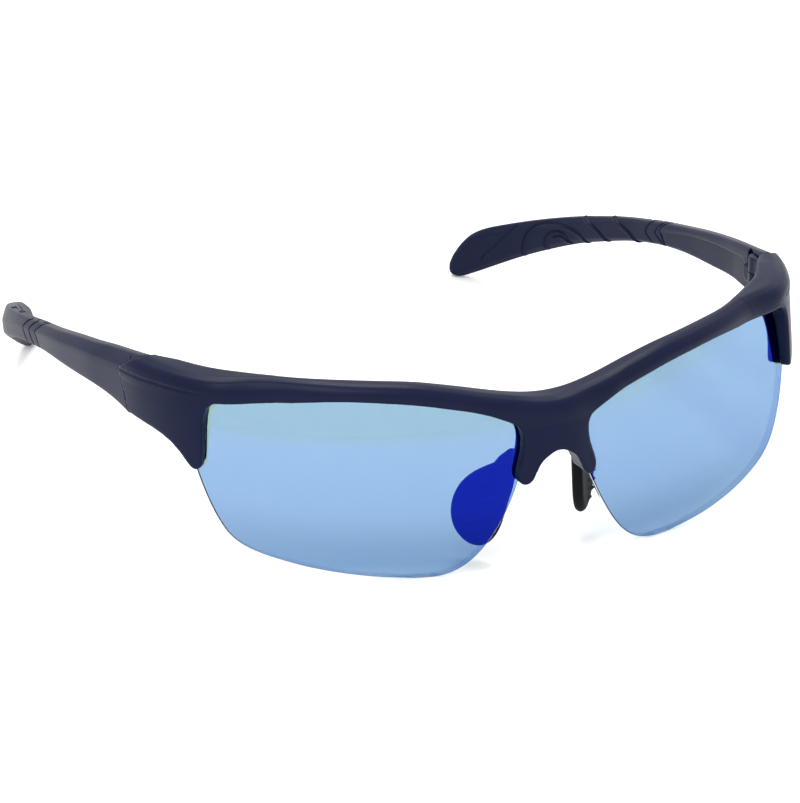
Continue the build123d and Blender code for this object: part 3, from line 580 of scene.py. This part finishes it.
OUTER_LINES = [
    (relief([(0.445, 30.6), (0.452, 29.6), (0.463, 27.6), (0.455, 26.2), (0.447, 24.9)]), 0.30, 0.32, 0.0),
    (relief([(0.478, 29.6), (0.486, 28.6), (0.499, 26.5), (0.491, 25.1), (0.482, 23.7)]), 0.30, 0.32, 0.0),
]
INNER_LINES = [
    (relief([(0.429, 31.0), (0.434, 29.6), (0.447, 27.6), (0.435, 26.8), (0.417, 25.4)]), 0.28, 0.30, 0.0),
    (relief([(0.462, 30.1), (0.467, 28.8), (0.478, 26.6), (0.467, 25.8), (0.449, 24.5)]), 0.28, 0.30, 0.0),
    (relief([(0.60, 20.2), (0.62, 21.4), (0.645, 22.3), (0.668, 22.9), (0.675, 23.1)]), 0.40, 0.32, 0.26),
    (relief([(0.510, 23.3), (0.535, 24.7), (0.560, 25.4), (0.582, 26.0), (0.590, 26.2)]), 0.40, 0.32, 0.26),
    (relief([(0.667, 17.6), (0.675, 18.5), (0.692, 19.2), (0.709, 19.5), (0.735, 19.4), (0.765, 18.7), (0.795, 17.4), (0.815, 15.5), (0.827, 13.2), (0.832, 10.0)]), 0.42, 0.32, 0.22),
    (relief([(0.712, 16.2), (0.722, 17.5), (0.739, 17.9), (0.758, 17.0), (0.771, 15.3), (0.773, 13.0)]), 0.40, 0.32, 0.20),
    (relief([(0.716, 16.1), (0.726, 16.8), (0.740, 16.8), (0.750, 16.1)]), 0.35, 0.25, 0.18),
    (relief([(0.850, 15.8), (0.870, 13.9), (0.889, 11.7), (0.910, 9.2), (0.923, 7.9), (0.930, 6.2)]), 0.42, 0.28, 0.0),
]


def line_depth(lines, s, z):
    """How deep the relief lines cut at each (s, z): a groove with a raised lip on one side."""
    out = np.zeros(s.shape)
    a = s * 114.0
    for line, half, depth, lip in lines:
        lo, hi = line.min(0) - 3 * half, line.max(0) + 3 * half
        m = (a > lo[0]) & (a < hi[0]) & (z > lo[1]) & (z < hi[1])
        if not m.any():
            continue
        pa, pz = a[m], z[m]
        d2, side = np.full(pa.shape, 1e9), np.zeros(pa.shape)
        for (x0, y0), (x1, y1) in zip(line[:-1], line[1:]):
            ex, ey = x1 - x0, y1 - y0
            t = np.clip(((pa - x0) * ex + (pz - y0) * ey) / (ex * ex + ey * ey), 0, 1)
            q = (pa - x0 - t * ex) ** 2 + (pz - y0 - t * ey) ** 2
            closer = q < d2
            d2 = np.where(closer, q, d2)
            side = np.where(closer, np.sign((pa - x0) * ey - (pz - y0) * ex), side)
        d = np.sqrt(d2) * side
        w = np.clip(1 - np.abs(d) / half, 0, 1)
        r = np.clip(1 - np.abs(d - 1.25 * half * np.sign(lip)) / (1.1 * half), 0, 1)
        got = depth * w * w * (3 - 2 * w) - abs(lip) * r * r * (3 - 2 * r)
        out[m] = np.where(np.abs(got) > np.abs(out[m]), got, out[m])
    return out


def temple_tip(x, y, z):
    f, s, d = temple_base(x, y, z)
    f = smax(f, tip_region(y, z), 0.35)
    f = np.maximum(smax(f, tip_end(s * 114.0, z), 1.2), 0.82 - z)
    near = np.abs(f) < 1.0
    cut = np.zeros(f.shape)
    mid = thick(np.maximum(s[near], 0)) / 2
    outer = d[near] < mid
    sn, zn = s[near], z[near]
    c = np.zeros(sn.shape)
    c[outer] = line_depth(OUTER_LINES, sn[outer], zn[outer])
    c[~outer] = line_depth(INNER_LINES, sn[~outer], zn[~outer])
    cut[near] = c
    return f + cut


def mirrored(pts, splay=0.0):
    """The wearer's right one, turned open by splay degrees about its hinge."""
    p = np.array(pts) * (-1, 1, 1)
    a = math.radians(splay)
    dx, dy = p[:, 0] + PX, p[:, 1] - PY
    p[:, 0] = -PX + dx * math.cos(a) - dy * math.sin(a)
    p[:, 1] = PY + dx * math.sin(a) + dy * math.cos(a)
    return p


# ---------------------------------------------------------------------- lenses
def lens_mesh():
    """Front face, back face and rim of one lens as triangles, with a material number each."""
    c = np.array([35.0, 20.0])
    ts = 1 - np.linspace(1, 0, 26) ** 1.6
    bevel = 0.20
    inner = c + (lens_line - c) * (1 - bevel / np.linalg.norm(lens_line - c, axis=1))[:, None]
    n = len(lens_line)

    def on(p, radius):
        y = LENS_C[1] - np.sqrt(radius**2 - (p[:, 0] - LENS_C[0]) ** 2 - (p[:, 1] - LENS_C[2]) ** 2)
        return np.stack([p[:, 0], y, p[:, 1]], 1)

    rings, kind = [], []
    for t in ts[1:]:
        rings.append(on(c + (inner - c) * t, LENS_R))
        kind.append(0)
    depth = on(lens_line, LENS_R - bevel)
    rings.append(depth)
    kind.append(3)
    rings.append(on(lens_line, LENS_R - LENS_T + bevel))
    kind.append(2)
    for t in ts[:0:-1]:
        rings.append(on(c + (inner - c) * t, LENS_R - LENS_T))
        kind.append(1 if t < 1 else 2)
    pts = np.concatenate(rings + [on(c[None], LENS_R), on(c[None], LENS_R - LENS_T)])
    first, last = len(rings) * n, len(rings) * n + 1
    faces, mats = [], []
    i = np.arange(n)
    j = (i + 1) % n
    for k in range(len(rings) - 1):
        a, b = k * n, (k + 1) * n
        faces.append(np.stack([a + i, a + j, b + j], 1))
        faces.append(np.stack([a + i, b + j, b + i], 1))
        mats.append(np.full(2 * n, kind[k + 1]))
    faces.append(np.stack([np.full(n, first), j, i], 1)[:, ::-1][:, [0, 2, 1]])
    mats.append(np.zeros(n, int))
    e = (len(rings) - 1) * n
    faces.append(np.stack([np.full(n, last), e + i, e + j], 1)[:, ::-1][:, [0, 2, 1]])
    mats.append(np.ones(n, int))
    return pts, np.concatenate(faces), np.concatenate(mats)


# --------------------------------------------------------------------- nose pads
PAD_P0, PAD_SPLAY, PAD_T = (6.5, 8.3, 20.0), math.radians(38.0), 2.4
PAD_OUTLINE = [
    (0.5, 3.2), (2.9, 0.7), (5.6, -1.0), (8.4, -2.9), (10.7, -5.6), (11.7, -8.4), (11.8, -10.9),
    (11.0, -13.5), (9.2, -15.5), (6.9, -16.4), (4.9, -16.0), (3.0, -14.2), (1.6, -11.0), (0.8, -7.4),
    (0.0, -4.0), (-0.5, -1.0), (-0.7, 1.6),
]
STEM_ROOT = np.array([6.0, 6.6, 22.6])
pad_side = Outline(through(PAD_OUTLINE + PAD_OUTLINE[:3], 240)[20:-22], 0.08)


def pad_field(lift, lean, ribs):
    sp, ln = PAD_SPLAY, math.radians(lean)
    xd = np.array([math.sin(sp), math.cos(sp), 0.0])
    nd = np.array([math.cos(sp) * math.cos(ln), -math.sin(sp) * math.cos(ln), math.sin(ln)])
    yd = np.cross(nd, xd)
    org = np.array(PAD_P0) + (0, 0, lift)
    neck = org + 1.5 * xd + 0.2 * yd
    axis = (neck - STEM_ROOT) / np.linalg.norm(neck - STEM_ROOT)
    length = np.linalg.norm(neck - STEM_ROOT)

    def field(x, y, z):
        q = np.stack([x - org[0], y - org[1], z - org[2]], -1)
        a, w, n = q @ xd, q @ yd, q @ nd
        side = pad_side(a, w) - 0.25
        # gently dished towards the nose, crowned on the outer face
        n = n - 0.012 * ((a - 5.5) ** 2) + 0.25
        f = smax(side, np.abs(n) - 1.12, 1.5)
        # moulded ribs on the rear of the face that looks at the lens
        phase = (w + 0.25 * a) / 1.8
        rib = np.clip(1 - np.abs(phase - np.round(phase)) * 1.8 / 0.52, 0, 1)
        rib = rib * rib * (3 - 2 * rib)
        where = np.clip((n - 0.1) / 0.5, 0, 1) * np.clip((w + 15.6) / 0.8, 0, 1)
        rim = np.clip((-0.6 - side) / 0.9, 0, 1) if ribs < 0.2 else np.clip((a - 6.5) / 3.5, 0, 1)
        f = f - ribs * rib * where * rim
        r = np.stack([x, y, z], -1) - STEM_ROOT
        t = np.clip(r @ axis, 0, length)
        f = smin(f, np.linalg.norm(r - t[:, None] * axis, axis=1) - (0.90 + 0.50 * t / length), 1.6)
        f = np.maximum(f, -front_frame(x, y, z) + 0.02)
        along = r @ axis
        core = np.maximum(np.linalg.norm(r - along[:, None] * axis, axis=1) - 0.56, slab(along, -0.1, length + 1.62))
        return np.maximum(f, -core)

    return field


# ------------------------------------------------------------------ materials
def new_material(name):
    mat = bpy.data.materials.new(name)
    mat.use_nodes = True
    nt = mat.node_tree
    nt.nodes.clear()
    out = nt.nodes.new("ShaderNodeOutputMaterial")
    return mat, nt, out


def noise(nt, scale, detail=2.0, rough=0.5, coords="Object"):
    tc = nt.nodes.new("ShaderNodeTexCoord")
    n = nt.nodes.new("ShaderNodeTexNoise")
    n.inputs["Scale"].default_value = scale
    n.inputs["Detail"].default_value = detail
    n.inputs["Roughness"].default_value = rough
    nt.links.new(tc.outputs[coords], n.inputs["Vector"])
    return n


def ramp(nt, fac, stops):
    r = nt.nodes.new("ShaderNodeValToRGB")
    while len(r.color_ramp.elements) < len(stops):
        r.color_ramp.elements.new(0.5)
    for e, (p, c) in zip(r.color_ramp.elements, stops):
        e.position = p
        e.color = (c[0], c[1], c[2], 1.0) if len(c) == 3 else c
    nt.links.new(fac, r.inputs["Fac"])
    return r


def bump(nt, height, strength, distance):
    b = nt.nodes.new("ShaderNodeBump")
    b.inputs["Strength"].default_value = strength
    b.inputs["Distance"].default_value = distance
    nt.links.new(height, b.inputs["Height"])
    return b


def moulded(name, dark, light, rough_lo, rough_hi, spec, grain, bump_by):
    """Moulded plastic: fine spark grain, slight colour and roughness variation."""
    mat, nt, out = new_material(name)
    p = nt.nodes.new("ShaderNodeBsdfPrincipled")
    p.inputs["Specular IOR Level"].default_value = spec
    p.inputs["IOR"].default_value = 1.19
    broad = noise(nt, 60.0, 3.0, 0.55)
    c = ramp(nt, broad.outputs["Fac"], [(0.3, dark), (0.7, light)])
    nt.links.new(c.outputs["Color"], p.inputs["Base Color"])
    fine = noise(nt, grain, 2.0, 0.6)
    r = nt.nodes.new("ShaderNodeMapRange")
    r.inputs["From Min"].default_value = 0.3
    r.inputs["From Max"].default_value = 0.7
    r.inputs["To Min"].default_value = rough_lo
    r.inputs["To Max"].default_value = rough_hi
    nt.links.new(fine.outputs["Fac"], r.inputs["Value"])
    nt.links.new(r.outputs["Result"], p.inputs["Roughness"])
    b = bump(nt, fine.outputs["Fac"], 0.35, bump_by)
    nt.links.new(b.outputs["Normal"], p.inputs["Normal"])
    nt.links.new(p.outputs["BSDF"], out.inputs["Surface"])
    return mat


NAVY = moulded("navy_plastic", (0.0036, 0.0066, 0.0250), (0.0056, 0.0090, 0.0320), 0.30, 0.40, 0.50, 4200.0, 0.00003)
RUBBER = moulded("black_rubber", (0.0055, 0.0065, 0.0080), (0.0085, 0.0095, 0.0110), 0.44, 0.56, 0.14, 3000.0, 0.00004)
TIP = moulded("navy_rubber", (0.0045, 0.0075, 0.0250), (0.0065, 0.0098, 0.0310), 0.36, 0.46, 0.38, 3600.0, 0.00003)


def steel():
    mat, nt, out = new_material("turned_steel")
    p = nt.nodes.new("ShaderNodeBsdfPrincipled")
    p.inputs["Metallic"].default_value = 1.0
    n = noise(nt, 900.0, 3.0)
    c = ramp(nt, n.outputs["Fac"], [(0.3, (0.45, 0.45, 0.47)), (0.7, (0.60, 0.60, 0.62))])
    nt.links.new(c.outputs["Color"], p.inputs["Base Color"])
    r = nt.nodes.new("ShaderNodeMapRange")
    r.inputs["To Min"].default_value = 0.22
    r.inputs["To Max"].default_value = 0.42
    nt.links.new(n.outputs["Fac"], r.inputs["Value"])
    nt.links.new(r.outputs["Result"], p.inputs["Roughness"])
    nt.links.new(p.outputs["BSDF"], out.inputs["Surface"])
    return mat


STEEL = steel()


def lens_mirror():
    """Tinted lens with a blue mirror coating: what it reflects is blue, what it lets through is green-grey."""
    mat, nt, out = new_material("lens_mirror")
    t = nt.nodes.new("ShaderNodeBsdfTransparent")
    g = nt.nodes.new("ShaderNodeBsdfGlossy")
    t.inputs["Color"].default_value = (0.228, 0.358, 0.293, 1)
    g.inputs["Color"].default_value = (0.0045, 0.012, 0.250, 1)
    g.inputs["Roughness"].default_value = 0.03
    a = nt.nodes.new("ShaderNodeAddShader")
    nt.links.new(t.outputs[0], a.inputs[0])
    nt.links.new(g.outputs[0], a.inputs[1])
    nt.links.new(a.outputs[0], out.inputs["Surface"])
    return mat


LENS = lens_mirror()


def lens_clear(name, through, rough, shine):
    """The uncoated back face and the cut edge of the lens."""
    mat, nt, out = new_material(name)
    t = nt.nodes.new("ShaderNodeBsdfTransparent")
    g = nt.nodes.new("ShaderNodeBsdfGlossy")
    t.inputs["Color"].default_value = through
    g.inputs["Color"].default_value = (1, 1, 1, 1)
    g.inputs["Roughness"].default_value = rough
    w = nt.nodes.new("ShaderNodeLayerWeight")
    w.inputs["Blend"].default_value = shine
    m = nt.nodes.new("ShaderNodeMixShader")
    nt.links.new(w.outputs["Fresnel"], m.inputs[0])
    nt.links.new(t.outputs[0], m.inputs[1])
    nt.links.new(g.outputs[0], m.inputs[2])
    nt.links.new(m.outputs[0], out.inputs["Surface"])
    return mat


LENS_BACK = lens_clear("lens_back", (0.98, 0.98, 0.98, 1), 0.05, 0.05)
LENS_RIM = lens_clear("lens_rim", (0.80, 0.82, 0.84, 1), 0.25, 0.10)
LENS_EDGE = lens_clear("lens_edge", (0.07, 0.08, 0.11, 1), 0.35, 0.02)



def give(node, mat):
    o = N[node]
    o.data.materials.clear()
    o.data.materials.append(mat)


for n in N:
    if n.startswith("nose_pad_core") or n.startswith("hinge"):
        give(n, STEEL)

# ----------------------------------------------------------------- the pieces
H = 1.0
pts, quads = surface(front_frame, (-71.5, -1.0, 17.5), (71.5, 53.0, 41.5), 0.32 * H)
mesh_piece("front_frame_moulding", pts, quads, [NAVY], "front", ["front_frame"])

pts, quads = surface(temple_arm, (62.0, 40.0, 24.0), (73.0, 92.0, 41.0), 0.22 * H)
mesh_piece("temple_arm_moulding_left", pts, quads, [NAVY], "temple_left", ["temple_arm_left"])
mesh_piece("temple_arm_moulding_right", mirrored(pts, 0.9), quads, [NAVY], "temple_right", ["temple_arm_right"], flip=True)

pts, quads = surface(temple_tip, (46.0, 85.5, -0.5), (73.0, 154.0, 33.5), 0.17 * H)
mesh_piece("temple_tip_sleeve_left", pts, quads, [TIP], "temple_left", ["temple_tip_left"])
mesh_piece("temple_tip_sleeve_right", mirrored(pts, 0.9), quads, [TIP], "temple_right", ["temple_tip_right"], flip=True)

pts, tris, kinds = lens_mesh()
mesh_piece("lens_shell_left", pts, tris, [LENS, LENS_BACK, LENS_RIM, LENS_EDGE], "front", ["lens_left"], face_mats=kinds)
mesh_piece("lens_shell_right", mirrored(pts), tris, [LENS, LENS_BACK, LENS_RIM, LENS_EDGE], "front", ["lens_right"], flip=True, face_mats=kinds)

pts, quads = surface(pad_field(2.6, 1.0, 0.34), (3.0, 5.0, 2.0), (18.0, 22.0, 27.0), 0.18 * H)
mesh_piece("nose_pad_moulding_left", pts, quads, [RUBBER], "front", ["nose_pad_left"])
pts, quads = surface(pad_field(0.0, 10.0, 0.10), (3.0, 5.0, 1.0), (18.0, 22.0, 27.0), 0.18 * H)
mesh_piece("nose_pad_moulding_right", mirrored(pts), quads, [RUBBER], "front", ["nose_pad_right"], flip=True)


# ---------------------------------------------------------- stage, light, camera
def floor():
    me = bpy.data.meshes.new("floor")
    me.from_pydata([(-4, -4, 0), (4, -4, 0), (4, 4, 0), (-4, 4, 0)], [], [(0, 1, 2, 3)])
    ob = bpy.data.objects.new("floor", me)
    bpy.context.scene.collection.objects.link(ob)
    mat, nt, out = new_material("floor_paper")
    d = nt.nodes.new("ShaderNodeBsdfDiffuse")
    d.inputs["Color"].default_value = (0.95, 0.95, 0.95, 1)
    nt.links.new(d.outputs[0], out.inputs["Surface"])
    me.materials.append(mat)


floor()

world = bpy.data.worlds.new("studio")
world.use_nodes = True
world.node_tree.nodes["Background"].inputs["Color"].default_value = (1, 1, 1, 1)
world.node_tree.nodes["Background"].inputs["Strength"].default_value = 1.14
bpy.context.scene.world = world


def area(name, at, to, size, power):
    l = bpy.data.lights.new(name, "AREA")
    l.shape = "RECTANGLE"
    l.size, l.size_y = size
    l.energy = power
    o = bpy.data.objects.new(name, l)
    bpy.context.scene.collection.objects.link(o)
    o.location = at
    o.rotation_mode = "QUATERNION"
    o.rotation_quaternion = (Vector(to) - Vector(at)).to_track_quat("-Z", "Y")
    return o


area("key", (0.15, 0.38, 0.80), (0, -0.03, 0.02), (0.35, 0.35), 3.0)
area("overhead", (-0.30, -0.33, 0.86), (0, -0.03, 0.02), (0.35, 0.35), 2.6)
area("front", (-0.56, -0.72, 0.67), (0, -0.03, 0.02), (0.35, 0.35), 0.8)

cam = bpy.data.cameras.new("camera")
cam.lens = 214.24
cam.sensor_width = 36.0
cam.clip_start, cam.clip_end = 0.05, 50.0
co = bpy.data.objects.new("camera", cam)
bpy.context.scene.collection.objects.link(co)
right = Vector((0.9092, -0.4164, 0.0)).normalized()
back = Vector((-0.3855, -0.8418, 0.3778)).normalized()
up = back.cross(right).normalized()
right = up.cross(back).normalized()
co.matrix_world = Matrix(
    (
        (right[0], up[0], back[0], -0.36983 + 0.00056 * up[0]),
        (right[1], up[1], back[1], -0.81148 + 0.00056 * up[1]),
        (right[2], up[2], back[2], 0.36887 + 0.00056 * up[2]),
        (0, 0, 0, 1),
    )
)
bpy.context.scene.camera = co
bpy.context.scene.view_settings.view_transform = "Standard"
bpy.context.scene.view_settings.look = "None"
